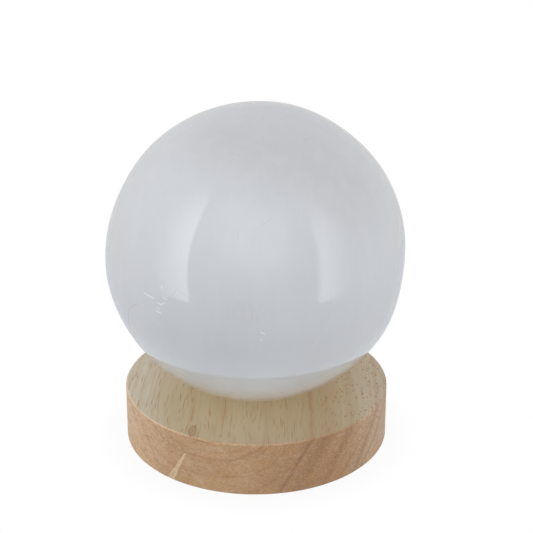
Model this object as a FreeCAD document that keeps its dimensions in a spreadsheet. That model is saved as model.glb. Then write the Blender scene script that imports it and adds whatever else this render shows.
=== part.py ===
import FreeCAD
import Part
import Sketcher
import math
import os
import re

# Selenite sphere lamp: a polished stone ball stands loose on a turned wooden base, which holds a
# light board under a frosted window, with a power inlet and a push switch at the back.
# Millimetres. +Z is up, +Y is the back, and the origin is on the table under the base's middle.

SIZES = {
    # Stone ball and the soft ring that it stands on
    "ball_diameter": 111.5,
    "seat_contact_diameter": 28.4,
    "seat_inner_lip": 2.2,
    "seat_outer_lip": 1.8,
    "seat_ring_height": 3.0,
    "seat_clearance": 0.1,
    "ball_gap": 0.15,
    # Wooden base: widths outwards from the light board, heights upwards from the table
    "cavity_margin": 10.0,
    "ledge_width": 8.0,
    "rim_width": 9.0,
    "cover_recess_depth": 2.6,
    "cavity_height": 11.4,
    "deck_thickness": 7.0,
    "edge_chamfer": 0.5,
    # Feet
    "foot_height": 1.2,
    "foot_diameter": 5.5,
    "foot_margin": 0.5,
    "foot_chamfer": 0.4,
    # Window, reflector and light board
    "well_step": 0.5,
    "window_overlap": 5.5,
    "window_thickness": 2.0,
    "window_clearance": 0.15,
    "window_shelf": 2.0,
    "reflector_wall": 5.0,
    "reflector_height": 5.0,
    "reflector_flare": 1.0,
    "led_board_thickness": 1.6,
    "led_circle_diameter": 18.0,
    "led_side": 5.0,
    "led_height": 1.6,
    "led_lens_diameter": 4.2,
    "led_lens_depth": 0.3,
    "resistor_circle_diameter": 7.0,
    "resistor_length": 3.2,
    "resistor_width": 1.6,
    "resistor_height": 0.6,
    # Bottom cover
    "cover_thickness": 2.0,
    "cover_clearance": 0.2,
    # Screws: shank, full length under the head (or with it, if countersunk), and head
    "led_screw_diameter": 2.2,
    "led_screw_length": 10.0,
    "led_screw_head_diameter": 4.0,
    "led_screw_head_height": 1.3,
    "cover_screw_diameter": 2.8,
    "cover_screw_length": 9.0,
    "cover_screw_head_diameter": 5.2,
    "cover_screw_head_height": 1.3,
    "panel_screw_diameter": 2.0,
    "panel_screw_length": 9.0,
    "panel_screw_head_diameter": 3.8,
    "panel_screw_head_height": 1.1,
    "tray_screw_diameter": 1.8,
    "tray_screw_head_diameter": 3.2,
    "tray_screw_head_height": 1.2,
    "screw_fit": 0.05,
    "recess_rim": 0.9,
    "recess_width": 0.5,
    "recess_depth": 0.6,
    # Rear panel with its tray
    "panel_height": 12.0,
    "panel_thickness": 2.0,
    "panel_inset": 0.2,
    "panel_clearance": 0.15,
    "panel_screw_margin": 2.8,
    "panel_end_margin": 3.2,
    "tray_thickness": 1.4,
    "tray_tail": 5.5,
    "slot_clearance": 0.3,
    "slot_overrun": 1.0,
    # Control board, power inlet and switch
    "board_thickness": 1.0,
    "board_setback": 0.3,
    "control_margin": 2.0,
    "control_gap": 2.8,
    "socket_width": 8.94,
    "socket_height": 3.26,
    "socket_depth": 7.4,
    "socket_wall": 0.3,
    "socket_setback": 0.1,
    "socket_fit": 0.08,
    "tongue_width": 6.7,
    "tongue_thickness": 0.7,
    "tongue_length": 4.4,
    "tongue_setback": 0.8,
    "tongue_fit": 0.02,
    "contact_width": 0.35,
    "contact_pitch": 0.95,
    "contact_length": 3.4,
    "contact_setback": 0.35,
    "contact_thickness": 0.06,
    "switch_width": 7.4,
    "switch_height": 4.2,
    "switch_back_wall": 0.8,
    "bore_depth": 5.6,
    "button_diameter": 6.0,
    "button_chamfer": 0.5,
    "button_proud": 2.2,
    "button_travel": 1.5,
    "button_fit": 0.08,
    "travel_margin": 0.4,
    "flange_rim": 0.7,
    "flange_thickness": 1.0,
    "flange_gap": 0.15,
    "stem_diameter": 3.0,
    "spring_length": 3.4,
    "spring_wire": 0.35,
    "spring_slack": 0.1,
    "chip_side": 3.0,
    "chip_height": 1.1,
    "passive_length": 2.0,
    "passive_width": 1.2,
    "passive_height": 0.6,
    "component_gap": 0.8,
    # Wires from the control board to the light board
    "wire_diameter": 1.2,
    "wire_spacing": 4.0,
    "wire_overlap": 2.0,
    "wire_margin": 1.8,
    "wire_clearance": 0.02,
    "solder_diameter": 2.4,
    "solder_height": 1.6,
    "solder_bite": 0.8,
}

FEET = 4
COVER_SCREWS = 3
LED_SCREWS = 3
LEDS = 6
LED_RESISTORS = 3
CONTACTS_PER_SIDE = 6
SPRING_TURNS = 3.5
QUARTER_TURN = math.pi / 2

# Named lengths that follow from the sizes above
DERIVED = {
    # Radii from the axis outwards
    "ball_radius": "ball_diameter / 2",
    "seat_radius": "seat_contact_diameter / 2",
    "ring_inner_radius": "seat_radius - seat_inner_lip",
    "ring_outer_radius": "seat_radius + seat_outer_lip",
    "well_radius": "ring_inner_radius + well_step",
    "window_radius": "well_radius + window_overlap",
    "led_board_radius": "window_radius + reflector_wall",
    "led_screw_radius": "window_radius + reflector_wall / 2",
    "cavity_radius": "led_board_radius + cavity_margin",
    "cover_screw_radius": "cavity_radius + ledge_width / 2",
    "recess_radius": "cavity_radius + ledge_width",
    "foot_radius": "recess_radius + foot_margin + foot_diameter / 2",
    "base_radius": "recess_radius + rim_width",
    # Heights from the table upwards
    "recess_top": "foot_height + cover_recess_depth",
    "cover_bottom": "recess_top - cover_thickness",
    "ceiling": "recess_top + cavity_height",
    "window_bottom": "ceiling - window_thickness",
    "led_board_top": "ceiling - reflector_height",
    "led_board_bottom": "led_board_top - led_board_thickness",
    "wood_top": "ceiling + deck_thickness",
    "counterbore_floor": "wood_top - seat_ring_height - seat_clearance",
    "ball_centre": "wood_top + sqrt(ball_radius^2 - seat_radius^2)",
    # Rear panel: across it, then up from its axis, then inwards from its face
    "control_spacing": "socket_width / 2 + control_gap + switch_width / 2",
    "socket_x": "-control_spacing / 2",
    "button_x": "control_spacing / 2",
    "flange_radius": "button_diameter / 2 + flange_rim",
    "slot_half": "control_spacing / 2 + socket_width / 2 + control_margin",
    "tray_half": "slot_half - slot_clearance",
    "notch_x": "button_x - flange_radius - slot_clearance",
    "tray_screw_x": "tray_half - tray_screw_head_diameter / 2 - slot_clearance",
    "panel_screw_x": "slot_half + panel_screw_margin",
    "panel_half": "panel_screw_x + panel_end_margin",
    "board_drop": "socket_height / 2",
    "tray_drop": "board_drop + board_thickness",
    "tray_floor_drop": "tray_drop + tray_thickness",
    "slot_floor_drop": "max(flange_radius; tray_floor_drop) + slot_clearance",
    "axis_drop": "flange_radius + slot_clearance",
    "panel_axis": "ceiling - axis_drop",
    "panel_face": "sqrt(base_radius^2 - panel_half^2) - panel_inset",
    "panel_back": "panel_face - panel_thickness",
    "flange_front": "panel_thickness + flange_gap",
    "flange_back": "flange_front + flange_thickness",
    "switch_front": "flange_back + button_travel + travel_margin",
    "bore_bottom": "switch_front + bore_depth",
    "switch_back": "bore_bottom + switch_back_wall",
    "stem_end": "bore_bottom - spring_length",
    "tray_screw_z": "-(switch_back + tray_tail / 2)",
    "tray_end": "switch_back + tray_tail",
    "board_front": "panel_thickness + board_setback",
    "board_end": "tray_end - board_setback",
    "socket_back": "socket_setback + socket_depth",
    "tray_screw_length": "board_thickness + tray_thickness",
}

doc = FreeCAD.newDocument("SeleniteSphereLamp")
sheet = doc.addObject("Spreadsheet::Sheet", "Sizes")
for row, (alias, length) in enumerate(SIZES.items(), start=1):
    sheet.set(f"A{row}", alias)
    sheet.set(f"B{row}", str(length))
    sheet.setAlias(f"B{row}", alias)
doc.recompute()

sub_parts = []


def formula(text):
    """Writes a formula of named lengths in terms of the sheet's cells."""

    def in_cells(match):
        word = match.group(0)
        if word in DERIVED:
            return f"({formula(DERIVED[word])})"
        if word in SIZES:
            return f"Sizes.{word}"
        return word

    return re.sub(r"[a-z_]+", in_cells, text)


def named(sub_part, name):
    """Labels a sub-part with the name that a person would use for it."""
    sub_part.Label = name
    sub_parts.append(sub_part)
    return sub_part


def new_body(name):
    return named(doc.addObject("PartDesign::Body", name), name)


def move(thing, **places):
    """Binds a sub-part's place to formulas, one for each axis given."""
    for axis, text in places.items():
        thing.setExpression(f"Placement.Base.{axis}", formula(text))


def face_back(thing, x="0", inwards="0"):
    """Stands a piece in the rear panel's frame: x to the right seen from behind, y up, z outwards."""
    thing.Placement = FreeCAD.Placement(
        FreeCAD.Vector(), FreeCAD.Rotation(FreeCAD.Vector(0, 1, 1), 180)
    )
    move(thing, x=f"-({x})", y=f"panel_face - ({inwards})", z="panel_axis")


# Sketches

def origin_part(body, role):
    return next(part for part in body.Origin.OriginFeatures if part.Role == role)


def sketch_on(body, name, plane, offset="0"):
    """Starts a sketch on one of the body's own planes, moved along the plane's normal."""
    sketch = body.newObject("Sketcher::SketchObject", name)
    sketch.AttachmentSupport = [(origin_part(body, plane), "")]
    sketch.MapMode = "FlatFace"
    sketch.setExpression("AttachmentOffset.Base.z", formula(offset))
    return sketch


def drive(sketch, text, *constraint):
    """Adds a constraint whose size is a formula."""
    index = sketch.addConstraint(Sketcher.Constraint(*constraint))
    sketch.setExpression(f"Constraints[{index}]", formula(text))


def fix_point(sketch, line, end, start, corner):
    """Fixes one point of the sketch at a pair of formulas."""
    for kind, axis, now, text in zip(("DistanceX", "DistanceY"), (-2, -1), start, corner):
        if text == "0":
            sketch.addConstraint(Sketcher.Constraint("PointOnObject", line, end, axis))
        else:
            drive(sketch, text, kind, -1, 1, line, end, now)


def outline(sketch, corners):
    """Draws a closed outline of straight lines through corners given as formulas."""
    first = sketch.GeometryCount
    count = len(corners)
    step = 2 * math.pi / count
    points = [FreeCAD.Vector(math.cos(k * step + 1), math.sin(k * step + 1), 0) for k in range(count)]
    for k in range(count):
        sketch.addGeometry(Part.LineSegment(points[k], points[(k + 1) % count]))
    for k in range(count):
        following = first + (k + 1) % count
        sketch.addConstraint(Sketcher.Constraint("Coincident", first + k, 2, following, 1))
    for k in range(count):
        fix_point(sketch, first + k, 1, points[k], corners[k])


def rectangle(sketch, left, right, low, high):
    outline(sketch, [(left, low), (right, low), (right, high), (left, high)])


def circle(sketch, x, y, radius):
    index = sketch.addGeometry(Part.Circle(FreeCAD.Vector(1, 1, 0), FreeCAD.Vector(0, 0, 1), 1))
    fix_point(sketch, index, 3, (1.0, 1.0), (x, y))
    drive(sketch, radius, "Radius", index, 1.0)


def stadium(sketch, x, y, half_length, radius):
    """Draws a round-ended slot outline about a point, longer along the sketch's first axis."""
    first = sketch.GeometryCount
    up = FreeCAD.Vector(0, 0, 1)
    right_end = Part.Circle(FreeCAD.Vector(1, 0, 0), up, 1)
    left_end = Part.Circle(FreeCAD.Vector(-1, 0, 0), up, 1)
    sketch.addGeometry(Part.ArcOfCircle(right_end, -QUARTER_TURN, QUARTER_TURN))
    sketch.addGeometry(Part.LineSegment(FreeCAD.Vector(1, 1, 0), FreeCAD.Vector(-1, 1, 0)))
    sketch.addGeometry(Part.ArcOfCircle(left_end, QUARTER_TURN, 3 * QUARTER_TURN))
    sketch.addGeometry(Part.LineSegment(FreeCAD.Vector(-1, -1, 0), FreeCAD.Vector(1, -1, 0)))
    for k in range(4):
        following = first + (k + 1) % 4
        sketch.addConstraint(Sketcher.Constraint("Tangent", first + k, 2, following, 1))
    reach = f"({half_length}) - ({radius})"
    fix_point(sketch, first, 3, (1.0, 0.0), (f"{x} + {reach}", y))
    fix_point(sketch, first + 2, 3, (-1.0, 0.0), (f"{x} - ({reach})", y))
    for end in (first, first + 2):
        drive(sketch, radius, "Radius", end, 1.0)


def spin_line(sketch, x):
    """Draws the line that a profile is turned about."""
    line = Part.LineSegment(FreeCAD.Vector(1, 0, 0), FreeCAD.Vector(1, 1, 0))
    index = sketch.addGeometry(line, True)
    sketch.addConstraint(Sketcher.Constraint("Vertical", index))
    sketch.addConstraint(Sketcher.Constraint("PointOnObject", index, 1, -1))
    drive(sketch, x, "DistanceX", -1, 1, index, 1, 1.0)
    sketch.addConstraint(Sketcher.Constraint("DistanceY", index, 1, index, 2, 1.0))


def cross(sketch, x, y, arm):
    """Draws a screw's cross recess about a point."""
    half = "recess_width / 2"
    corners = []
    for turn in range(4):
        for along, aside in ((arm, f"-({half})"), (arm, half), (half, half)):
            ways = (
                (along, aside), (f"-({aside})", along),
                (f"-({along})", f"-({aside})"), (aside, f"-({along})"),
            )
            right, up = ways[turn]
            corners.append((f"{x} + {right}", f"{y} + {up}"))
    outline(sketch, corners)


# Features

def extrude(body, kind, name, sketch, length, flip=False):
    """Pads a sketch along its plane's normal, or pockets it against that normal, unless flipped."""
    feature = body.newObject(f"PartDesign::{kind}", name)
    feature.Profile = sketch
    feature.setExpression("Length", formula(length))
    feature.Reversed = flip
    return feature


def turned(body, kind, name, sketch, axis="V_Axis"):
    """Turns a profile once round, as material or as a groove."""
    feature = body.newObject(f"PartDesign::{kind}", name)
    feature.Profile = sketch
    feature.ReferenceAxis = (sketch, [axis])
    feature.Angle = 360
    return feature


def around(body, name, originals, count):
    """Repeats features evenly about the body's upright axis."""
    pattern = body.newObject("PartDesign::PolarPattern", name)
    pattern.Originals = originals
    pattern.Axis = (origin_part(body, "Z_Axis"), [""])
    pattern.Angle = 360
    pattern.Occurrences = count
    body.Tip = pattern


def mirrored(body, name, originals, plane="YZ_Plane"):
    """Repeats features on the other side of one of the body's planes."""
    mirror = body.newObject("PartDesign::Mirrored", name)
    mirror.Originals = originals
    mirror.MirrorPlane = (origin_part(body, plane), [""])
    body.Tip = mirror


# Screws. The way is the sign of the shank's direction along the screw's axis.

def pan_screw(sketch, screw, x, seat, way):
    """Draws half of a screw whose head sits on a face, and its axis."""
    back = {"+": "-", "-": "+"}[way]
    head_top = f"{seat} {back} {screw}_head_height"
    head_edge = f"{x} + {screw}_head_diameter / 2"
    shank_edge = f"{x} + {screw}_diameter / 2"
    point_start = f"{seat} {way} ({screw}_length - {screw}_diameter / 2)"
    tip = f"{seat} {way} {screw}_length"
    spin_line(sketch, x)
    outline(sketch, [
        (x, head_top), (head_edge, head_top), (head_edge, seat),
        (shank_edge, seat), (shank_edge, point_start), (x, tip),
    ])


def sunk_screw(sketch, screw, x, seat, way, fit="0"):
    """Draws half of a countersunk screw flush with a face, or of the hole that it fits."""
    head_edge = f"{x} + {screw}_head_diameter / 2 + {fit}"
    shank_edge = f"{x} + {screw}_diameter / 2 + {fit}"
    neck = f"{seat} {way} {screw}_head_height"
    point_start = f"{seat} {way} ({screw}_length - {screw}_diameter / 2)"
    tip = f"{seat} {way} {screw}_length"
    spin_line(sketch, x)
    outline(sketch, [
        (x, seat), (head_edge, seat), (shank_edge, neck), (shank_edge, point_start), (x, tip),
    ])


def recess(body, screw, plane, x, y, offset, flip):
    """Cuts the cross recess into a screw's head."""
    sketch = sketch_on(body, "recess_outline", plane, offset)
    cross(sketch, x, y, f"({screw}_head_diameter / 2 - recess_rim)")
    return extrude(body, "Pocket", "recess", sketch, "recess_depth", flip)


# Stone ball and its seat

def stone_ball(name, radius):
    ball = doc.addObject("Part::Sphere", name)
    ball.setExpression("Radius", formula(radius))
    move(ball, z="ball_centre")
    return ball


def make_seat_ring():
    """A soft ring in the mouth of the well, dished to the ball's curve."""
    blanks = []
    for name, radius in (("ring_blank", "ring_outer_radius"), ("ring_bore", "ring_inner_radius")):
        blank = doc.addObject("Part::Cylinder", name)
        blank.setExpression("Radius", formula(radius))
        blank.setExpression("Height", formula("seat_ring_height"))
        move(blank, z="wood_top - seat_ring_height")
        blanks.append(blank)
    ring = doc.addObject("Part::Cut", "plain_ring")
    ring.Base, ring.Tool = blanks
    seat = doc.addObject("Part::Cut", "seat_ring")
    seat.Base = ring
    seat.Tool = stone_ball("ball_room", "ball_radius + ball_gap")
    named(seat, "seat_ring")


# Wooden base

def make_wood_base():
    """A disc turned in one piece, then bored for its screws and milled at the back."""
    body = new_body("wood_base")
    profile = sketch_on(body, "turned_profile", "XZ_Plane")
    low_edge = "foot_height + edge_chamfer"
    high_edge = "wood_top - edge_chamfer"
    outline(profile, [
        ("recess_radius", "foot_height"),
        ("base_radius - edge_chamfer", "foot_height"),
        ("base_radius", low_edge),
        ("base_radius", high_edge),
        ("base_radius - edge_chamfer", "wood_top"),
        ("ring_outer_radius + seat_clearance", "wood_top"),
        ("ring_outer_radius + seat_clearance", "counterbore_floor"),
        ("well_radius", "counterbore_floor"),
        ("well_radius", "ceiling"),
        ("cavity_radius", "ceiling"),
        ("cavity_radius", "recess_top"),
        ("recess_radius", "recess_top"),
    ])
    turned(body, "Revolution", "turning", profile)

    pilots = (
        ("cover_screw", COVER_SCREWS, "recess_top", "cover_screw_length - cover_thickness"),
        ("led_screw", LED_SCREWS, "ceiling", "led_screw_length - reflector_height - led_board_thickness"),
    )
    for screw, count, level, depth in pilots:
        sketch = sketch_on(body, f"{screw}_circle", "XY_Plane", level)
        circle(sketch, "0", f"-{screw}_radius", f"{screw}_diameter / 2 + screw_fit")
        hole = extrude(body, "Pocket", f"{screw}_pilot", sketch, f"{depth} + screw_fit", flip=True)
        around(body, f"{screw}_pilots", [hole], count)

    back_level = "-(panel_back)"
    pocket = sketch_on(body, "panel_outline", "XZ_Plane", back_level)
    half_length = "panel_half + panel_clearance"
    stadium(pocket, "0", "panel_axis", half_length, "panel_height / 2 + panel_clearance")
    extrude(body, "Pocket", "panel_pocket", pocket, "base_radius - panel_back")

    slot = sketch_on(body, "slot_outline", "XZ_Plane", back_level)
    rectangle(slot, "-(slot_half)", "slot_half", "panel_axis - slot_floor_drop", "ceiling")
    inner_end = "(sqrt(cavity_radius^2 - slot_half^2) - slot_overrun)"
    extrude(body, "Pocket", "wire_slot", slot, f"panel_back - {inner_end}", flip=True)

    holes = sketch_on(body, "panel_screw_circles", "XZ_Plane", back_level)
    for x in ("-(panel_screw_x)", "panel_screw_x"):
        circle(holes, x, "panel_axis", "panel_screw_diameter / 2 + screw_fit")
    depth = "panel_screw_length - panel_thickness + screw_fit"
    extrude(body, "Pocket", "panel_screw_pilots", holes, depth, flip=True)


def make_rubber_feet():
    """Round bumpers under the rim, set between the axes so that none shows at the front."""
    body = new_body("rubber_feet")
    sketch = sketch_on(body, "foot_profile", "XZ_Plane")
    spin_line(sketch, "foot_radius")
    edge = "foot_radius + foot_diameter / 2"
    outline(sketch, [
        ("foot_radius", "0"), (f"{edge} - foot_chamfer", "0"), (edge, "foot_chamfer"),
        (edge, "foot_height"), ("foot_radius", "foot_height"),
    ])
    foot = turned(body, "Revolution", "foot", sketch, "Axis0")
    around(body, "feet", [foot], FEET)
    body.Placement.Rotation = FreeCAD.Rotation(FreeCAD.Vector(0, 0, 1), 180 / FEET)


# Light window, reflector and light board

def make_light_window():
    body = new_body("light_window")
    sketch = sketch_on(body, "window_outline", "XY_Plane", "window_bottom")
    circle(sketch, "0", "0", "window_radius")
    extrude(body, "Pad", "window", sketch, "window_thickness")


def screw_holes(body, level, depth):
    """Bores the light board's screw holes upwards from a level."""
    sketch = sketch_on(body, "screw_hole_circle", "XY_Plane", level)
    circle(sketch, "0", "-led_screw_radius", "led_screw_diameter / 2 + screw_fit")
    hole = extrude(body, "Pocket", "screw_hole", sketch, depth, flip=True)
    around(body, "screw_holes", [hole], LED_SCREWS)


def make_reflector_ring():
    """A ring with a rebate for the window above and a flared white bore below it."""
    body = new_body("reflector_ring")
    sketch = sketch_on(body, "reflector_profile", "XZ_Plane")
    bore_top = "window_radius - window_shelf"
    rebate = "window_radius + window_clearance"
    outline(sketch, [
        (f"{bore_top} - reflector_flare", "led_board_top"),
        ("led_board_radius", "led_board_top"),
        ("led_board_radius", "ceiling"),
        (rebate, "ceiling"),
        (rebate, "window_bottom"),
        (bore_top, "window_bottom"),
    ])
    turned(body, "Revolution", "reflector", sketch)
    screw_holes(body, "led_board_top", "reflector_height")


def make_led_board():
    body = new_body("led_board")
    sketch = sketch_on(body, "board_outline", "XY_Plane", "led_board_bottom")
    circle(sketch, "0", "0", "led_board_radius")
    extrude(body, "Pad", "board", sketch, "led_board_thickness")
    screw_holes(body, "led_board_bottom", "led_board_thickness")


def make_led_chips():
    """Square light chips in a circle, each with a round dished lens."""
    body = new_body("led_chips")
    middle = "led_circle_diameter / 2"
    sketch = sketch_on(body, "chip_outline", "XY_Plane", "led_board_top")
    half = "led_side / 2"
    rectangle(sketch, f"{middle} - {half}", f"{middle} + {half}", f"-({half})", half)
    chip = extrude(body, "Pad", "chip", sketch, "led_height")
    lens_sketch = sketch_on(body, "lens_outline", "XY_Plane", "led_board_top + led_height")
    circle(lens_sketch, middle, "0", "led_lens_diameter / 2")
    lens = extrude(body, "Pocket", "lens", lens_sketch, "led_lens_depth")
    around(body, "chips", [chip, lens], LEDS)


def make_led_resistors():
    body = new_body("led_resistors")
    middle = "resistor_circle_diameter / 2"
    sketch = sketch_on(body, "resistor_outline", "XY_Plane", "led_board_top")
    half_width = "resistor_width / 2"
    half_length = "resistor_length / 2"
    left, right = f"{middle} - {half_width}", f"{middle} + {half_width}"
    rectangle(sketch, left, right, f"-({half_length})", half_length)
    resistor = extrude(body, "Pad", "resistor", sketch, "resistor_height")
    around(body, "resistors", [resistor], LED_RESISTORS)


def make_led_board_screws():
    body = new_body("led_board_screws")
    sketch = sketch_on(body, "screw_profile", "YZ_Plane")
    pan_screw(sketch, "led_screw", "-led_screw_radius", "led_board_bottom", "+")
    screw = turned(body, "Revolution", "screw", sketch, "Axis0")
    head_face = "led_board_bottom - led_screw_head_height"
    cut = recess(body, "led_screw", "XY_Plane", "0", "-led_screw_radius", head_face, flip=True)
    around(body, "screws", [screw, cut], LED_SCREWS)


# Bottom cover

def make_bottom_cover():
    """A disc in the rebate under the base, countersunk for its screws."""
    body = new_body("bottom_cover")
    sketch = sketch_on(body, "cover_outline", "XY_Plane", "cover_bottom")
    circle(sketch, "0", "0", "recess_radius - cover_clearance")
    extrude(body, "Pad", "cover", sketch, "cover_thickness")
    hole_sketch = sketch_on(body, "hole_profile", "YZ_Plane")
    sunk_screw(hole_sketch, "cover_screw", "-cover_screw_radius", "cover_bottom", "+", "screw_fit")
    hole = turned(body, "Groove", "hole", hole_sketch, "Axis0")
    around(body, "holes", [hole], COVER_SCREWS)


def make_cover_screws():
    body = new_body("cover_screws")
    sketch = sketch_on(body, "screw_profile", "YZ_Plane")
    sunk_screw(sketch, "cover_screw", "-cover_screw_radius", "cover_bottom", "+")
    screw = turned(body, "Revolution", "screw", sketch, "Axis0")
    cut = recess(body, "cover_screw", "XY_Plane", "0", "-cover_screw_radius", "cover_bottom", flip=True)
    around(body, "screws", [screw, cut], COVER_SCREWS)


# Rear panel. These bodies stand in the panel's frame: x right seen from behind, y up, z outwards.

def rear_body(name):
    body = new_body(name)
    face_back(body)
    return body


def notched_plan(sketch, half, front, end):
    """Draws a board's plan, with the corner under the button's travel cut away."""
    outline(sketch, [
        (f"-({half})", f"-({front})"), ("notch_x", f"-({front})"), ("notch_x", "-(switch_front)"),
        (half, "-(switch_front)"), (half, f"-({end})"), (f"-({half})", f"-({end})"),
    ])


def tray_screw_holes(body, level, depth):
    """Bores the two tray screw holes downwards from a level below the panel's axis."""
    sketch = sketch_on(body, "tray_screw_circles", "XZ_Plane", level)
    for x in ("-(tray_screw_x)", "tray_screw_x"):
        circle(sketch, x, "tray_screw_z", "tray_screw_diameter / 2 + screw_fit")
    extrude(body, "Pocket", "tray_screw_holes", sketch, depth, flip=True)


def make_rear_panel():
    """A round-ended plate with openings for inlet and button, and a tray behind it."""
    body = rear_body("rear_panel")
    plate = sketch_on(body, "plate_outline", "XY_Plane")
    stadium(plate, "0", "0", "panel_half", "panel_height / 2")
    extrude(body, "Pad", "plate", plate, "panel_thickness", flip=True)
    tray = sketch_on(body, "tray_plan", "XZ_Plane", "tray_drop")
    notched_plan(tray, "tray_half", "panel_thickness", "tray_end")
    extrude(body, "Pad", "tray", tray, "tray_thickness")

    openings = sketch_on(body, "opening_outlines", "XY_Plane")
    half_length = "socket_width / 2 + socket_fit"
    stadium(openings, "socket_x", "0", half_length, "socket_height / 2 + socket_fit")
    circle(openings, "button_x", "0", "button_diameter / 2 + button_fit")
    extrude(body, "Pocket", "openings", openings, "panel_thickness")
    tray_screw_holes(body, "tray_drop", "tray_thickness")

    hole_sketch = sketch_on(body, "hole_profile", "XZ_Plane")
    sunk_screw(hole_sketch, "panel_screw", "panel_screw_x", "0", "-", "screw_fit")
    hole = turned(body, "Groove", "hole", hole_sketch, "Axis0")
    mirrored(body, "holes", [hole])


def make_panel_screws():
    body = rear_body("panel_screws")
    sketch = sketch_on(body, "screw_profile", "XZ_Plane")
    sunk_screw(sketch, "panel_screw", "panel_screw_x", "0", "-")
    screw = turned(body, "Revolution", "screw", sketch, "Axis0")
    cut = recess(body, "panel_screw", "XY_Plane", "panel_screw_x", "0", "0", flip=False)
    mirrored(body, "screws", [screw, cut])


# Control board, power inlet and switch

def make_control_board():
    body = rear_body("control_board")
    sketch = sketch_on(body, "board_plan", "XZ_Plane", "board_drop")
    notched_plan(sketch, "tray_half", "board_front", "board_end")
    extrude(body, "Pad", "board", sketch, "board_thickness")
    tray_screw_holes(body, "board_drop", "board_thickness")


def make_control_board_screws():
    body = rear_body("control_board_screws")
    sketch = sketch_on(body, "screw_profile", "XY_Plane", "tray_screw_z")
    pan_screw(sketch, "tray_screw", "tray_screw_x", "-board_drop", "-")
    screw = turned(body, "Revolution", "screw", sketch, "Axis0")
    head_face = "board_drop - tray_screw_head_height"
    cut = recess(body, "tray_screw", "XZ_Plane", "tray_screw_x", "tray_screw_z", head_face, flip=True)
    mirrored(body, "screws", [screw, cut])


def make_driver_components():
    """A driver chip behind the inlet, with two small parts on one side and one on the other."""
    blocks = []
    beside = "chip_side / 2 + component_gap"
    back = "-(socket_back + component_gap)"
    passive = ("passive_width", "passive_height", "passive_length")
    layout = (
        ("driver_chip", "socket_x - chip_side / 2", ("chip_side", "chip_height", "chip_side")),
        ("capacitor", f"socket_x - {beside} - passive_width", passive),
        ("near_resistor", f"socket_x + {beside}", passive),
        ("far_resistor", f"socket_x + {beside} + passive_width + component_gap", passive),
    )
    for name, left, (across, tall, deep) in layout:
        block = doc.addObject("Part::Box", name)
        for side, text in (("Length", across), ("Width", tall), ("Height", deep)):
            block.setExpression(side, formula(text))
        move(block, x=left, y="-(board_drop)", z=f"{back} - {deep}")
        blocks.append(block)
    group = doc.addObject("Part::Compound", "driver_components")
    group.Links = blocks
    face_back(named(group, "driver_components"))


def make_socket_shell():
    """The inlet's drawn steel tube, open at the panel's face."""
    body = rear_body("socket_shell")
    sketch = sketch_on(body, "shell_outline", "XY_Plane", "-socket_setback")
    for inset in ("0", "socket_wall"):
        half_length = f"socket_width / 2 - {inset}"
        stadium(sketch, "socket_x", "0", half_length, f"socket_height / 2 - {inset}")
    extrude(body, "Pad", "shell", sketch, "socket_depth", flip=True)


def make_socket_tongue():
    """The inlet's plastic back, with a flat tongue that carries the contacts."""
    body = rear_body("socket_tongue")
    inset = "(socket_wall + tongue_fit)"
    back_depth = "socket_depth - tongue_length - tongue_setback"
    block = sketch_on(body, "back_outline", "XY_Plane", "-(socket_back)")
    half_length = f"socket_width / 2 - {inset}"
    stadium(block, "socket_x", "0", half_length, f"socket_height / 2 - {inset}")
    extrude(body, "Pad", "back", block, back_depth)
    tongue = sketch_on(body, "tongue_outline", "XY_Plane", "-(socket_back)")
    half_width = "tongue_width / 2"
    half_height = "tongue_thickness / 2"
    left, right = f"socket_x - {half_width}", f"socket_x + {half_width}"
    rectangle(tongue, left, right, f"-({half_height})", half_height)
    extrude(body, "Pad", "tongue", tongue, f"{back_depth} + tongue_length")


def make_socket_contacts():
    """Flat contacts in a row on each side of the tongue."""
    body = rear_body("socket_contacts")
    sketch = sketch_on(body, "contact_outlines", "XZ_Plane", "-(tongue_thickness / 2)")
    front = "-(socket_setback + tongue_setback + contact_setback)"
    for k in range(CONTACTS_PER_SIDE):
        middle = f"socket_x + contact_pitch * {k - (CONTACTS_PER_SIDE - 1) / 2}"
        left, right = f"{middle} - contact_width / 2", f"{middle} + contact_width / 2"
        rectangle(sketch, left, right, f"{front} - contact_length", front)
    row = extrude(body, "Pad", "contact_row", sketch, "contact_thickness", flip=True)
    mirrored(body, "contact_rows", [row], "XZ_Plane")


def make_switch_housing():
    """The switch's block on the board, bored from the front for the button's stem."""
    body = rear_body("switch_housing")
    sketch = sketch_on(body, "housing_plan", "XZ_Plane", "board_drop")
    half = "switch_width / 2"
    left, right = f"button_x - {half}", f"button_x + {half}"
    rectangle(sketch, left, right, "-(switch_back)", "-(switch_front)")
    extrude(body, "Pad", "housing", sketch, "switch_height", flip=True)
    bore = sketch_on(body, "bore_outline", "XY_Plane", "-(switch_front)")
    circle(bore, "button_x", "0", "stem_diameter / 2 + button_fit")
    extrude(body, "Pocket", "stem_bore", bore, "bore_depth")


def make_push_button():
    """A round cap with a flange behind the panel and a stem that runs in the switch."""
    body = rear_body("push_button")
    sketch = sketch_on(body, "button_profile", "XZ_Plane")
    spin_line(sketch, "button_x")
    cap = "button_x + button_diameter / 2"
    flange = "button_x + flange_radius"
    stem = "button_x + stem_diameter / 2"
    outline(sketch, [
        ("button_x", "button_proud"), (f"{cap} - button_chamfer", "button_proud"),
        (cap, "button_proud - button_chamfer"), (cap, "-(flange_front)"),
        (flange, "-(flange_front)"), (flange, "-(flange_back)"),
        (stem, "-(flange_back)"), (stem, "-(stem_end)"), ("button_x", "-(stem_end)"),
    ])
    turned(body, "Revolution", "button", sketch, "Axis0")


# Spring and wires

ARC_SHARE = 0.45
VOLUME_TOLERANCE = 0.02


def size(alias):
    return float(sheet.get(alias))


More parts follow.
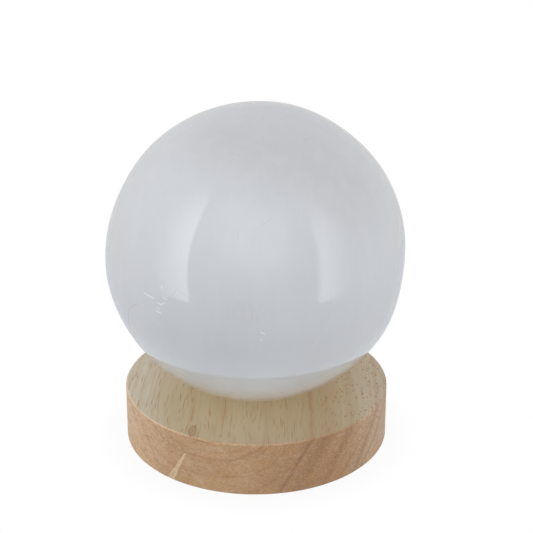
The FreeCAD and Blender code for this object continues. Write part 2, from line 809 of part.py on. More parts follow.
def arc_from(start, heading, finish):
    """The arc that leaves a point along a heading and ends at another point."""
    chord = finish - start
    along = FreeCAD.Vector(chord).normalize()
    aside = heading - along * heading.dot(along)
    lean = math.atan2(aside.Length, heading.dot(along))
    rise = chord.Length / 2 * math.tan(lean / 2)
    middle = start + chord * 0.5 + aside.normalize() * rise
    return Part.Arc(start, middle, finish).toShape()


def tube(edges, heading, diameter):
    """Sweeps a round section along joined edges, and checks the volume that comes out."""
    path = Part.Wire(edges)
    start = edges[0].Vertexes[0].Point
    section = Part.Wire(Part.makeCircle(diameter / 2, start, heading))
    solid = path.makePipeShell([section], True, False)
    expected = math.pi * diameter**2 / 4 * path.Length
    if abs(solid.Volume - expected) > VOLUME_TOLERANCE * expected:
        raise RuntimeError(f"a tube has volume {solid.Volume:.3f}, not {expected:.3f}")
    return solid


def spring_path(radius, rise):
    """Follows a helix up from the origin with two arcs to each quarter turn."""
    slope = rise / (SPRING_TURNS * 2 * math.pi)

    def point(angle):
        return FreeCAD.Vector(radius * math.cos(angle), radius * math.sin(angle), slope * angle)

    def heading(angle):
        way = FreeCAD.Vector(-radius * math.sin(angle), radius * math.cos(angle), slope)
        return way.normalize()

    edges = []
    for k in range(round(SPRING_TURNS * 4)):
        low, high = k * QUARTER_TURN, (k + 1) * QUARTER_TURN
        span = point(high) - point(low)
        both = span.dot(heading(low) + heading(high))
        bend = 2 * (1 - heading(low).dot(heading(high)))
        reach = (math.sqrt(both**2 + bend * span.dot(span)) - both) / bend
        leaving = point(low) + heading(low) * reach
        arriving = point(high) - heading(high) * reach
        join = (leaving + arriving) * 0.5
        edges.append(arc_from(point(low), heading(low), join))
        edges.append(arc_from(join, (arriving - leaving).normalize(), point(high)))
    return edges, heading(0)


def make_button_spring():
    """A coil between the bottom of the switch's bore and the end of the stem."""
    wire = size("spring_wire")
    radius = size("stem_diameter") / 2 - size("spring_slack") - wire / 2
    rise = size("spring_length") - 2 * wire
    edges, heading = spring_path(radius, rise)
    spring = doc.addObject("Part::Feature", "button_spring")
    spring.Shape = tube(edges, heading, wire)
    face_back(named(spring, "button_spring"), "button_x", "bore_bottom - spring_wire")
    print(f"button_spring: least gap between turns {rise / SPRING_TURNS - wire:.2f} mm")


def rounded_route(points):
    """Joins points with straight runs and tangent arcs as large as the runs allow."""
    edges = []
    here = points[0]
    for before, corner, after in zip(points, points[1:], points[2:]):
        back = before - corner
        onward = after - corner
        cut = ARC_SHARE * min(back.Length, onward.Length)
        half_turn = (math.pi - back.getAngle(onward)) / 2
        arc_start = corner + back.normalize() * cut
        arc_end = corner + onward.normalize() * cut
        edges.append(Part.LineSegment(here, arc_start).toShape())
        edges.append(arc_from(arc_start, back * -1, arc_end))
        print(f"wire bend radius {cut / math.tan(half_turn):.1f} mm")
        here = arc_end
    edges.append(Part.LineSegment(here, points[-1]).toShape())
    return edges


def make_wires():
    """Two wires from the control board's top, down under the light board, soldered at both ends."""
    control = doc.getObject("control_board").Shape.BoundBox
    light = doc.getObject("led_board").Shape.BoundBox
    stand_off = size("wire_diameter") / 2 + size("wire_clearance")
    overlap, margin = size("wire_overlap"), size("wire_margin")
    high = control.ZMax + stand_off
    low = light.ZMin - stand_off
    route = (
        (control.YMin + overlap, high), (control.YMin - margin, high),
        (light.YMax + margin, low), (light.YMax - overlap, low),
    )
    into = size("solder_diameter") / 2 - size("solder_bite")
    pads = (
        (route[0][0] + into, control.ZMax, FreeCAD.Vector(0, 0, 1)),
        (route[-1][0] - into, light.ZMin, FreeCAD.Vector(0, 0, -1)),
    )
    joints = []
    for name, side in (("red_wire", 1), ("black_wire", -1)):
        x = side * size("wire_spacing") / 2
        points = [FreeCAD.Vector(x, y, z) for y, z in route]
        solid = tube(rounded_route(points), points[1] - points[0], size("wire_diameter"))
        wire = named(doc.addObject("Part::Feature", name), name)
        wire.Shape = solid
        for y, z, way in pads:
            broad, narrow = size("solder_diameter") / 2, size("wire_diameter") / 2
            foot = FreeCAD.Vector(x, y, z)
            blob = Part.makeCone(broad, narrow, size("solder_height"), foot, way)
            joints.append(blob.cut(solid))
    solder = named(doc.addObject("Part::Feature", "solder_joints"), "solder_joints")
    solder.Shape = Part.makeCompound(joints)


# Assembly

named(stone_ball("selenite_sphere", "ball_radius"), "selenite_sphere")
make_seat_ring()
make_wood_base()
make_rubber_feet()
make_light_window()
make_reflector_ring()
make_led_board()
make_led_chips()
make_led_resistors()
make_led_board_screws()
make_bottom_cover()
make_cover_screws()
make_rear_panel()
make_panel_screws()
make_control_board()
make_control_board_screws()
make_driver_components()
make_socket_shell()
make_socket_tongue()
make_socket_contacts()
make_switch_housing()
make_push_button()
make_button_spring()
doc.recompute()
make_wires()
doc.recompute()

for thing in doc.Objects:
    if "Invalid" in thing.State or "Error" in thing.State:
        raise RuntimeError(f"{thing.Name} failed: {thing.State}")
    if thing.TypeId in ("PartDesign::Pocket", "PartDesign::Groove"):
        if thing.Shape.Volume >= thing.BaseFeature.Shape.Volume:
            raise RuntimeError(f"{thing.Name} cuts nothing")
for sub_part in sub_parts:
    if sub_part.Shape.isNull() or not sub_part.Shape.isValid():
        raise RuntimeError(f"{sub_part.Label} has no valid shape")

os.makedirs("parts", exist_ok=True)
for sub_part in sub_parts:
    sub_part.Shape.exportStep(f"parts/{sub_part.Label}.step")
    box = sub_part.Shape.BoundBox
    print(f"{sub_part.Label}: {len(sub_part.Shape.Solids)} solids, {sub_part.Shape.Volume:.2f} mm3,",
          f"z {box.ZMin:.2f} to {box.ZMax:.2f}, y {box.YMin:.2f} to {box.YMax:.2f}")
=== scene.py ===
import math

import bmesh
import bpy
import numpy as np
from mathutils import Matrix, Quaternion, Vector


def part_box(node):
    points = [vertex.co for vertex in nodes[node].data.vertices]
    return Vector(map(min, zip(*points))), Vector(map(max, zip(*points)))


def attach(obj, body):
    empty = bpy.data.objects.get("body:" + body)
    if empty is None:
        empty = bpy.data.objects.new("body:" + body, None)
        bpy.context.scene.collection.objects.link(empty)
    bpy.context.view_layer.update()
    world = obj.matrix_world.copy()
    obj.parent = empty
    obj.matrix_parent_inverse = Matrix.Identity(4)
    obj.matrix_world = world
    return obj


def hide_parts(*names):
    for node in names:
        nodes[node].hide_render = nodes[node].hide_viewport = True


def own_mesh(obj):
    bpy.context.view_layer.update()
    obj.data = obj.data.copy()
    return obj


# Selenite sphere lamp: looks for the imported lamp. Lengths are in metres unless a name says otherwise,
# and materials work in millimetres.

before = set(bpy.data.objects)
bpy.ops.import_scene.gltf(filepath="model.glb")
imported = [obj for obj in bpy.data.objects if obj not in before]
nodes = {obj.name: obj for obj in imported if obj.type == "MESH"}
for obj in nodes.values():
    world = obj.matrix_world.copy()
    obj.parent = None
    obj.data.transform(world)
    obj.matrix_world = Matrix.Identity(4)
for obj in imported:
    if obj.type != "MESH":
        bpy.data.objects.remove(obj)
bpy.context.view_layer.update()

ball_low, ball_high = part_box("selenite_sphere")
wood_low, wood_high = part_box("wood_base")
BALL_RADIUS = (ball_high.z - ball_low.z) / 2
BALL_CENTRE = Vector((0, 0, (ball_high.z + ball_low.z) / 2))
BASE_RADIUS = (wood_high.x - wood_low.x) / 2
MM = 0.001


# Shader helpers

class Shader:
    """A material's node tree, with short calls for the nodes in use."""

    def __init__(self, name):
        self.material = bpy.data.materials.new(name)
        self.material.use_nodes = True
        self.tree = self.material.node_tree
        self.tree.nodes.clear()

    def node(self, kind, **settings):
        made = self.tree.nodes.new(kind)
        for name, value in settings.items():
            setattr(made, name, value)
        return made

    def feed(self, socket, value):
        """Links a socket to another one, or sets its value."""
        if isinstance(value, bpy.types.NodeSocket):
            self.tree.links.new(value, socket)
        else:
            socket.default_value = value

    def place(self):
        """The point on the piece, in millimetres, in the lamp's own frame at rest."""
        point = self.node("ShaderNodeTexCoord").outputs["Object"]
        return self.vector("MULTIPLY", point, (1 / MM, 1 / MM, 1 / MM))

    def facing(self):
        """The surface's own direction."""
        return self.node("ShaderNodeNewGeometry").outputs["Normal"]

    def math(self, operation, first, second=0.0):
        made = self.node("ShaderNodeMath", operation=operation)
        self.feed(made.inputs[0], first)
        self.feed(made.inputs[1], second)
        return made.outputs[0]

    def chain(self, operation, *values):
        """One operation over several values, such as the largest of them all."""
        found, *others = values
        for value in others:
            found = self.math(operation, found, value)
        return found

    def times(self, *values):
        return self.chain("MULTIPLY", *values)

    def vector(self, operation, first, second=(0, 0, 0)):
        made = self.node("ShaderNodeVectorMath", operation=operation)
        self.feed(made.inputs[0], first)
        self.feed(made.inputs[1], second)
        return made.outputs["Value" if operation in ("DOT_PRODUCT", "LENGTH") else "Vector"]

    def split(self, vector):
        made = self.node("ShaderNodeSeparateXYZ")
        self.feed(made.inputs[0], vector)
        return {name: made.outputs[name] for name in "XYZ"}

    def parts(self, vector):
        return self.split(vector).values()

    def joined(self, x, y, z):
        made = self.node("ShaderNodeCombineXYZ")
        for socket, value in zip(made.inputs, (x, y, z)):
            self.feed(socket, value)
        return made.outputs[0]

    def away(self, place, middle, size=(1, 1, 1)):
        """How far a place lies from a middle, counted in the given size along each axis."""
        offset = self.vector("SUBTRACT", place, tuple(middle))
        return self.vector("LENGTH", self.vector("DIVIDE", offset, size))

    def grain(self, place, size, detail=2.0, roughness=0.5):
        """Noise from 0 to 1 whose blobs have the given size along each axis."""
        made = self.node("ShaderNodeTexNoise")
        self.feed(made.inputs["Vector"], self.vector("DIVIDE", place, size))
        self.feed(made.inputs["Scale"], 1.0)
        self.feed(made.inputs["Detail"], detail)
        self.feed(made.inputs["Roughness"], roughness)
        return made.outputs[0]

    def swing(self, noise, reach):
        """Noise from 0 to 1, moved so that it goes half the reach either way from 0."""
        return self.times(self.math("SUBTRACT", noise, 0.5), reach)

    def cells(self, place, size):
        """Distance to the nearest of many scattered points, in cells, and a random value for each."""
        made = self.node("ShaderNodeTexVoronoi")
        self.feed(made.inputs["Vector"], self.vector("DIVIDE", place, size))
        self.feed(made.inputs["Scale"], 1.0)
        return made.outputs["Distance"], self.split(made.outputs["Color"])["X"]

    def ease(self, value, start, end, low=0.0, high=1.0):
        """Goes smoothly from low to high while the value goes from start to end."""
        made = self.node("ShaderNodeMapRange", interpolation_type="SMOOTHSTEP")
        for socket, given in zip(made.inputs, (value, start, end, low, high)):
            self.feed(socket, given)
        return made.outputs[0]

    def mix(self, share, first, second):
        made = self.node("ShaderNodeMix", data_type="RGBA")
        for name, given in (("Factor_Float", share), ("A_Color", first), ("B_Color", second)):
            socket = next(s for s in made.inputs if s.identifier == name)
            plain = isinstance(given, (float, bpy.types.NodeSocket))
            self.feed(socket, given if plain else (*given, 1.0))
        return next(s for s in made.outputs if s.identifier == "Result_Color")

    def bump(self, height, depth_mm, strength):
        made = self.node("ShaderNodeBump")
        self.feed(made.inputs["Height"], height)
        self.feed(made.inputs["Distance"], depth_mm * MM)
        self.feed(made.inputs["Strength"], strength)
        return made.outputs[0]

    def finish(self, **sockets):
        """Ends the tree in one surface shader with the given sockets."""
        surface = self.node("ShaderNodeBsdfPrincipled")
        for name, value in sockets.items():
            socket = surface.inputs[name.replace("_", " ")]
            colour = isinstance(value, tuple) and socket.type == "RGBA"
            self.feed(socket, (*value, 1.0) if colour else value)
        output = self.node("ShaderNodeOutputMaterial")
        self.tree.links.new(surface.outputs[0], output.inputs["Surface"])
        return self.material


# Stone

# Marks through points on the ball, each point by its azimuth and elevation in degrees: small chips that
# catch the light, a crack, dark and pale lines, and specks
CHIPS = (
    ((-44.7, 1.9), (-39.8, 1.3)), ((-35.6, 3.2), (-33.8, 2.5)),
    ((-38.1, 0.1), (-36.2, -0.1), (-34.8, 1.0)), ((-39.3, -3.3), (-36.5, -3.8)),
    ((-38.4, -2.0), (-37.1, -2.3)), ((-36.3, 7.0), (-36.0, 6.5)),
    ((2.0, -5.8), (3.4, -6.7)), ((1.8, -9.6), (2.5, -8.9)),
)
CRACK = (
    (-49.2, -4.5), (-51.4, -5.6), (-54.6, -8.2), (-57.0, -11.0),
    (-58.3, -14.2), (-60.7, -19.1), (-63.0, -23.9), (-65.4, -29.1),
)
DARK_LINES = (
    ((41, 67.5), (47.6, 64.7), (58, 64.3)), ((3.2, 33.8), (7.2, 35.8)), ((-7, 31.4), (-6.8, 28.5)),
    ((52, 20), (50.5, 15.7)), ((39.4, 24), (38.2, 20.7)), ((-32.7, 2.7), (-29.4, 7.7), (-24, 5)),
)
PALE_LINES = (((4, 1), (18, -31)), ((22, -15), (29, -3.7)), ((-47, -2.5), (-36.5, -10)))
SPECKS = (
    (18, 81.8), (8.4, 69.8), (-12.6, 61), (-64.7, 54), (19.2, 36.2), (27.3, 40.8), (47.1, 39.6), (68, 2),
)
# Painted shade: darker bands over the upper right, at the lower right and at the left edge, where the
# stone lies in shade; the share of each and its points
SHADE_BANDS = (
    (0.8, ((-32, 67), (8, 63), (38, 53), (49, 40))),
    (0.4, ((28, -24), (62, -18))),
    (0.45, ((-76, 8), (-68, -14))),
)
# A patch of dark fibres: its middle, half width and half height, in degrees
FIBRE_PATCH = (-1.5, 2.0, 15.0, 6.0)

# How far each kind of mark is full, and where it ends, from its line, in millimetres
CHIP_WIDTH = (0.08, 0.4)
CRACK_WIDTH = (0.05, 0.45)
DARK_WIDTH = (0.05, 0.28)
PALE_WIDTH = (0.1, 0.6)
SPECK_WIDTH = (0.1, 0.45)
SHADE_BAND_WIDTH = (0.0, 25.0)
# The greatest share of each colour, or its least and greatest share
PALE_SHARE, DARK_SHARE, SPECK_SHARE = 0.12, 0.16, 0.35
SILK_SHARE, FIBRE_SHARE, FOOT_GLOW_SHARE = 0.2, 0.07, 0.84
CHIP_SHARES = (0.28, 0.62)
CRACK_SHARES = (0.3, 0.9)
PATCH_SHARES = (0.03, 0.15)
# Heights over which the stone pales towards its foot, a painted glow standing in for light that comes
# through the stone, and over which the crack darkens on its way down, in millimetres
FOOT_GLOW_HEIGHTS = (66.0, 30.0)
CRACK_HEIGHTS = (70.0, 56.0)

CLOUD_DARK = (0.567, 0.592, 0.635)
CLOUD_PALE = (0.635, 0.657, 0.694)
# Painted glow at the stone's foot
FOOT_GLOW_COLOUR = (0.86, 0.93, 0.965)
# Colour of the painted shade bands
SHADE_BAND_COLOUR = (0.545, 0.556, 0.575)
SILK_COLOUR = (0.669, 0.684, 0.708)
FIBRE_COLOUR = (0.52, 0.535, 0.56)
PATCH_COLOUR = (0.42, 0.41, 0.40)
PALE_LINE_COLOUR = (0.80, 0.81, 0.83)
DARK_MARK_COLOUR = (0.33, 0.31, 0.30)
CRACK_COLOUR = (0.38, 0.38, 0.40)
CHIP_COLOUR = (0.95, 0.97, 1.0)


def on_ball(azimuth, elevation):
    """A direction from the ball's middle: azimuth in degrees from the front to the right."""
    turn, rise = math.radians(azimuth), math.radians(elevation)
    return Vector((math.sin(turn) * math.cos(rise), -math.cos(turn) * math.cos(rise), math.sin(rise)))


def ball_point(azimuth, elevation):
    """A point on the ball, in millimetres."""
    return (BALL_CENTRE + on_ball(azimuth, elevation) * BALL_RADIUS) / MM


def steps(points):
    """The lines between each point on the ball and the next."""
    ends = [ball_point(*point) for point in points]
    return list(zip(ends, ends[1:]))


def all_steps(marks):
    """The lines of several marks."""
    return [line for points in marks for line in steps(points)]


def away_from_line(shade, place, first, last):
    """How far a place lies from the line between two points, in millimetres."""
    along = last - first
    if along.length_squared == 0:
        return shade.away(place, first)
    offset = shade.vector("SUBTRACT", place, tuple(first))
    reach = shade.vector("DOT_PRODUCT", offset, tuple(along / along.length_squared))
    held = shade.math("MINIMUM", shade.math("MAXIMUM", reach, 0.0), 1.0)
    foot = shade.vector("MULTIPLY", shade.joined(held, held, held), tuple(along))
    return shade.vector("LENGTH", shade.vector("SUBTRACT", offset, foot))


def drawn_lines(shade, place, lines, width):
    """1 on the given lines, and 0 away from them."""
    full, end = width
    near = shade.chain("MINIMUM", *(away_from_line(shade, place, *line) for line in lines))
    return shade.ease(near, full, end, 1.0, 0.0)


def fibre_patch(shade, place):
    """Share of the dark fibres: streaked, most in the middle of their patch, and 0 outside it."""
    azimuth, elevation, half_turn, half_rise = FIBRE_PATCH
    wide = math.radians(half_turn) * BALL_RADIUS / MM
    tall = math.radians(half_rise) * BALL_RADIUS / MM
    away = shade.away(place, ball_point(azimuth, elevation), (wide, wide, tall))
    strands = shade.grain(place, (0.8, 0.8, 7.0), 3.0)
    return shade.times(shade.ease(away, 0.3, 1.0, 1.0, 0.0), shade.ease(strands, 0.4, 0.65, *PATCH_SHARES))


def marked(shade, place, veil):
    """The stone's colour with its pale and dark lines, specks and crack."""
    pale = drawn_lines(shade, place, all_steps(PALE_LINES), PALE_WIDTH)
    veil = shade.mix(shade.times(pale, PALE_SHARE), veil, PALE_LINE_COLOUR)
    dark = drawn_lines(shade, place, all_steps(DARK_LINES), DARK_WIDTH)
    specks = drawn_lines(shade, place, all_steps((point, point) for point in SPECKS), SPECK_WIDTH)
    darkened = shade.math("MAXIMUM", shade.times(dark, DARK_SHARE), shade.times(specks, SPECK_SHARE))
    veil = shade.mix(darkened, veil, DARK_MARK_COLOUR)
    crack = drawn_lines(shade, place, steps(CRACK), CRACK_WIDTH)
    depth = shade.ease(shade.split(place)["Z"], *CRACK_HEIGHTS, *CRACK_SHARES)
    return shade.mix(shade.times(crack, depth), veil, CRACK_COLOUR)


def selenite():
    """Polished satin spar: silky upright fibres under a clear gloss, with small chips and cloudy depth."""
    shade = Shader("selenite")
    place = shade.place()
    fibres = shade.grain(place, (0.9, 0.9, 45.0), 3.0, 0.6)
    silk = shade.grain(place, (5.0, 5.0, 120.0))
    cloud = shade.grain(place, (38.0, 38.0, 55.0))
    flecks = shade.grain(place, (0.5, 0.5, 0.9), 3.0)

    veil = shade.mix(cloud, CLOUD_DARK, CLOUD_PALE)
    # The stone pales towards its foot: a painted glow, standing in for light that comes through the stone
    foot = shade.ease(shade.split(place)["Z"], *FOOT_GLOW_HEIGHTS)
    veil = shade.mix(shade.times(foot, FOOT_GLOW_SHARE), veil, FOOT_GLOW_COLOUR)
    # Painted shade: darker bands where the stone lies in shade
    for share, points in SHADE_BANDS:
        painted_shade = drawn_lines(shade, place, steps(points), SHADE_BAND_WIDTH)
        veil = shade.mix(shade.times(painted_shade, share), veil, SHADE_BAND_COLOUR)
    veil = shade.mix(shade.ease(silk, 0.35, 0.75, 0.0, SILK_SHARE), veil, SILK_COLOUR)
    veil = shade.mix(shade.ease(fibres, 0.3, 0.75, 0.0, FIBRE_SHARE), veil, FIBRE_COLOUR)
    veil = shade.mix(fibre_patch(shade, place), veil, PATCH_COLOUR)
    veil = marked(shade, place, veil)
    chips = drawn_lines(shade, place, all_steps(CHIPS), CHIP_WIDTH)
    chipped = shade.times(chips, shade.ease(flecks, 0.35, 0.6, *CHIP_SHARES))
    height = shade.math("SUBTRACT", shade.times(fibres, 0.04), chipped)
    return shade.finish(
        Base_Color=shade.mix(chipped, veil, CHIP_COLOUR),
        Roughness=shade.ease(silk, 0.2, 0.8, 0.03, 0.06),
        IOR=1.52,
        Subsurface_Weight=0.35,
        Subsurface_Radius=(1.0, 0.95, 0.9),
        Subsurface_Scale=0.006,
        Coat_Weight=1.0,
        Coat_Roughness=0.03,
        Coat_IOR=1.5,
        Normal=shade.bump(height, 0.04, 0.5),
    )


# Strokes that left the stone out of round, seen from the front: angle round its outline in degrees from
# the right, height over a true ball in millimetres, and width in degrees
OUTLINE_STROKES = (
    (-168, 0.45, 10), (-33, 0.5, 10), (-8, -0.6, 9), (33, 0.37, 14), (74, 0.45, 11), (122, -0.22, 13),
    (153, -0.6, 11),
)
VIEW_RISE = math.radians(24.2)
# Random strokes on the rest of the stone: how many are drawn, their greatest height or depth, and their
# least and greatest width in degrees
OTHER_STROKES = 40
STROKE_SEED = 5
STROKE_MM = 0.3
STROKE_WIDTHS = (10, 18)
# How far along the view from the front, either way, a random stroke has to lie to stay off the outline
OFF_OUTLINE = 0.5
# Heights from the ball's middle, in radii: the stone is a true ball below the first, and fully carved
# above the second
UNCARVED, CARVED = -0.95, -0.8
BALL_SUBDIVISIONS = 7


def carving(directions):
    """Height of the carved stone over a true ball, in metres, fading out where it stands."""
    height = np.zeros(len(directions))
    upwards = Vector((0, math.sin(VIEW_RISE), math.cos(VIEW_RISE)))

    def add(middle, tall, wide):
        angle = np.degrees(np.arccos(np.clip(directions @ np.array(middle), -1, 1)))
        height[:] += tall * MM * np.exp(-0.5 * (angle / wide) ** 2)

    for turn, tall, wide in OUTLINE_STROKES:
        angle = math.radians(turn)
        add(Vector((math.cos(angle), 0, 0)) + upwards * math.sin(angle), tall, wide)
    chance = np.random.default_rng(STROKE_SEED)
    towards_view = Vector((0, -math.cos(VIEW_RISE), math.sin(VIEW_RISE)))
    for _ in range(OTHER_STROKES):
        middle = Vector(chance.normal(size=3)).normalized()
        tall = chance.uniform(-STROKE_MM, STROKE_MM)
        wide = chance.uniform(*STROKE_WIDTHS)
        if abs(middle.dot(towards_view)) > OFF_OUTLINE:
            add(middle, tall, wide)
    standing = np.clip((directions[:, 2] - UNCARVED) / (CARVED - UNCARVED), 0, 1)
    return height * standing


def carved_ball():
    """The stone itself, in place of the true ball."""
    mesh = bmesh.new()
    bmesh.ops.create_icosphere(mesh, subdivisions=BALL_SUBDIVISIONS, radius=1.0)
    directions = np.array([vertex.co.normalized() for vertex in mesh.verts])
    for vertex, direction, extra in zip(mesh.verts, directions, carving(directions)):
        vertex.co = BALL_CENTRE + Vector(direction) * (BALL_RADIUS + extra)
    for face in mesh.faces:
        face.smooth = True
    data = bpy.data.meshes.new("carved_ball")
    mesh.to_mesh(data)
    mesh.free()
    piece = bpy.data.objects.new("carved_ball", data)
    bpy.context.scene.collection.objects.link(piece)
    data.materials.append(selenite())
    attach(piece, "ball")
    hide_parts("selenite_sphere")


# Wood, in millimetres

TOP_MM = wood_high.z / MM
RIM_MM = BASE_RADIUS / MM
# The tree's middle, which runs along Y above the base, and how the growth rings about it wave
PITH_X, PITH_Z = -17.0, 43.0
RING_WAVE, RING_WAVE_SIZE = 6.0, (16.0, 70.0, 16.0)
# Lean of the grain at the left, as a slope
LEFT_LEAN = 0.07
# Dark veins along the grain: where each meets the top, its lean in degrees, its half width, and its
# strength in the side and in the top
VEINS = (
    (20.3, 30, 0.6, 0.55, 0.5), (26.5, 28, 2.4, 0.30, 0.10), (35.0, 27, 1.0, 0.34, 0.12),
    (45.5, 24, 0.7, 0.40, 0.2), (-42.5, -26, 0.5, 0.22, 0.12), (-46.0, -26, 0.4, 0.2, 0.1),
)
# Vessels: size of the cells that hold one each, half width in cells, how rare they are, and strength at
# the left and at the right, where they come out of the top
VESSELS = (
    ((1.0, 20.0, 1.0), 0.22, 0.6, 0.75, 0.3), ((0.8, 13.0, 0.8), 0.24, 0.6, 0.75, 0.2),
    ((0.65, 30.0, 0.65), 0.26, 0.6, 0.75, 0.2), ((1.5, 60.0, 1.0), 0.31, 0.35, 0.0, 1.0),
)
# How far the vessels bend sideways, and how steeply they rise at the right
VESSEL_BEND, VESSEL_RISE = 2.4, 0.42
# A knot and a small spot in the top: middle, half width, and length over width
KNOT, KNOT_LENGTH = (-23.1, -39.7, 1.25), 2.6
SPOT, SPOT_LENGTH = (-12.8, -43.4, 0.55), 1.8
# How far the grain flows round the knot, in its half widths across and along, and how much
FLOW_REACH, FLOW_LENGTH, FLOW_PULL = 2.5, 6.0, -0.45
# A pale sliver in the side: azimuth and height of its tip and of its foot, and its half width at each
SLIVER_TIP, SLIVER_FOOT = (-30.9, 14.8), (-39.3, 1.2)
SLIVER_TIP_WIDTH, SLIVER_FOOT_WIDTH = 0.2, 1.25
# Pale flecks in the side: azimuth and height of their middle, and how far they reach
FLECKED, FLECKED_REACH = (-43.0, 18.0), 5.5
# Painted highlight along the upper edge, where it catches the light: where it starts and is full, as a way
# in from the sharp corner, which counts radius and height together, and as a way down from the top
HIGHLIGHT_IN, HIGHLIGHT_DOWN = (0.7, 0.52), (0.4, 0.2)
# Spans along X over which the grain's lean, the vessels' rise and strength, the heart, the specks and the
# painted edge highlight change
LEAN_SPAN = (-40.0, -6.0)
RISE_SPAN = (14.0, 36.0)
VESSEL_SPAN = (16.0, 32.0)
HEART_SPAN = (-22.0, 26.0)
SPECK_SPAN = (-20.0, 40.0)
HIGHLIGHT_SPAN = (-36.0, -16.0)
# Distances from the middle, along X, over which the colours at the ends set in, and the span over which
# those of the left give way to those of the right
END_SPAN, LEFT_TO_RIGHT = (29.0, 46.0), (-30.0, 30.0)
# How far up a face looks where the side's looks start to give way to the top's, and where they are gone
TOP_FACING = (0.78, 0.95)

# Colours of the top and the side: in the middle, and at the left and right ends. At the top's ends the
# wood is paler in itself and also carries a painted sheen of reflected light
PALE_TOP, PALE_TOP_END_AND_SHEEN = (0.452, 0.370, 0.245), (0.548, 0.489, 0.390)
DEEP_TOP, DEEP_TOP_END_AND_SHEEN = (0.373, 0.287, 0.177), (0.446, 0.375, 0.275)
PALE_SIDE = (0.545, 0.356, 0.198)
PALE_SIDE_LEFT, PALE_SIDE_RIGHT = (0.712, 0.490, 0.295), (0.690, 0.556, 0.395)
DEEP_SIDE, DEEP_SIDE_END = (0.375, 0.220, 0.114), (0.482, 0.345, 0.222)
# Browns in the side and in the top
STREAK_SIDE, STREAK_TOP = (0.27, 0.130, 0.060), (0.385, 0.255, 0.130)
VEIN_SIDE, VEIN_TOP = (0.205, 0.092, 0.048), (0.305, 0.160, 0.070)
VESSEL_SIDE, VESSEL_TOP = (0.225, 0.105, 0.050), (0.300, 0.160, 0.064)
WARM_SIDE, COOL_SIDE = (0.48, 0.27, 0.105), (0.60, 0.44, 0.30)
DUST_DARK, DUST_PALE = (0.25, 0.11, 0.055), (0.70, 0.52, 0.34)
FLECK_COLOUR = (0.76, 0.62, 0.46)
KNOT_COLOUR = (0.27, 0.145, 0.062)
SPOT_COLOUR = (0.40, 0.155, 0.05)
SLIVER_COLOUR = (0.755, 0.590, 0.395)
RIM_HIGHLIGHT_COLOUR = (0.70, 0.61, 0.47)


def on_rim(azimuth, height):
    """A point on the side of the base, in millimetres."""
    turn = math.radians(azimuth)
    return Vector((RIM_MM * math.sin(turn), -RIM_MM * math.cos(turn), height))


def round_knot(shade, place):
    """Places for the grain, drawn aside so that it leans at the left and flows round the knot."""
    x, y, half = KNOT
    middle = (x, y, TOP_MM)
    away = shade.away(place, middle, (FLOW_REACH * half, FLOW_LENGTH * half, FLOW_REACH * half))
    pull = shade.math("DIVIDE", FLOW_PULL, shade.math("ADD", shade.times(away, away), 1.0))
    aside = shade.times(shade.split(shade.vector("SUBTRACT", place, middle))["X"], pull)
    lean = shade.ease(shade.split(place)["X"], *LEAN_SPAN, -LEFT_LEAN, 0.0)
    leaned = shade.times(shade.split(place)["Y"], lean)
    return shade.vector("ADD", place, shade.joined(shade.math("ADD", aside, leaned), 0.0, 0.0))


def growth(shade, place):
    """Distance from the tree's middle, with a natural waviness."""
    x, _, z = shade.parts(place)
    elsewhere = shade.vector("ADD", place, (90.0, 0.0, 40.0))
    wave_x = shade.swing(shade.grain(place, RING_WAVE_SIZE, 3.0), RING_WAVE)
    wave_z = shade.swing(shade.grain(elsewhere, RING_WAVE_SIZE, 3.0), RING_WAVE)
    across = shade.math("SUBTRACT", shade.math("ADD", x, wave_x), PITH_X)
    up = shade.math("SUBTRACT", shade.math("ADD", z, wave_z), PITH_Z)
    return shade.vector("LENGTH", shade.joined(across, 0.0, up))


def open_pores(shade, place):
    """Vessels cut open: long dashes where they run along the surface, dots where they come out of it."""
    x, y, z = shade.parts(place)
    rise = shade.ease(x, *RISE_SPAN, 0.0, VESSEL_RISE)
    bend = shade.times(shade.grain(place, (9.0, 22.0, 9.0), 1.0), VESSEL_BEND)
    leaning = shade.joined(x, y, shade.math("SUBTRACT", z, shade.times(rise, y)))
    leaning = shade.vector("ADD", leaning, shade.joined(bend, 0.0, 0.0))
    clusters = shade.grain(leaning, (7.0, 50.0, 7.0))
    pores = []
    for size, reach, rarity, at_left, at_right in VESSELS:
        near, chance = shade.cells(leaning, size)
        present = shade.ease(shade.math("ADD", chance, clusters), rarity, rarity + 0.45)
        strength = shade.ease(x, *VESSEL_SPAN, at_left, at_right)
        pores.append(shade.times(shade.ease(near, reach / 2, reach, 1.0, 0.0), present, strength))
    return shade.chain("MAXIMUM", *pores)


def veins(shade, place, upwards):
    """Dark veins that follow the growth rings through the base."""
    x, _, z = shade.parts(place)
    rough = shade.grain(place, (2.5, 11.0, 2.5), 4.0)
    below = shade.math("SUBTRACT", z, TOP_MM)
    dark = []
    for start, lean, half, in_side, in_top in VEINS:
        turn = math.radians(lean)
        sideways = shade.times(shade.math("SUBTRACT", x, start), math.cos(turn))
        away = shade.math("SUBTRACT", sideways, shade.times(below, math.sin(turn)))
        wavy = shade.math("ADD", away, shade.swing(rough, 2.4 * half))
        found = shade.ease(shade.math("ABSOLUTE", wavy), 0.0, 2.0 * half, 1.0, 0.0)
        dark.append(shade.times(found, shade.ease(upwards, 0.0, 1.0, in_side, in_top)))
    return shade.times(shade.chain("MAXIMUM", *dark), shade.ease(rough, 0.3, 0.6, 0.6, 1.0))


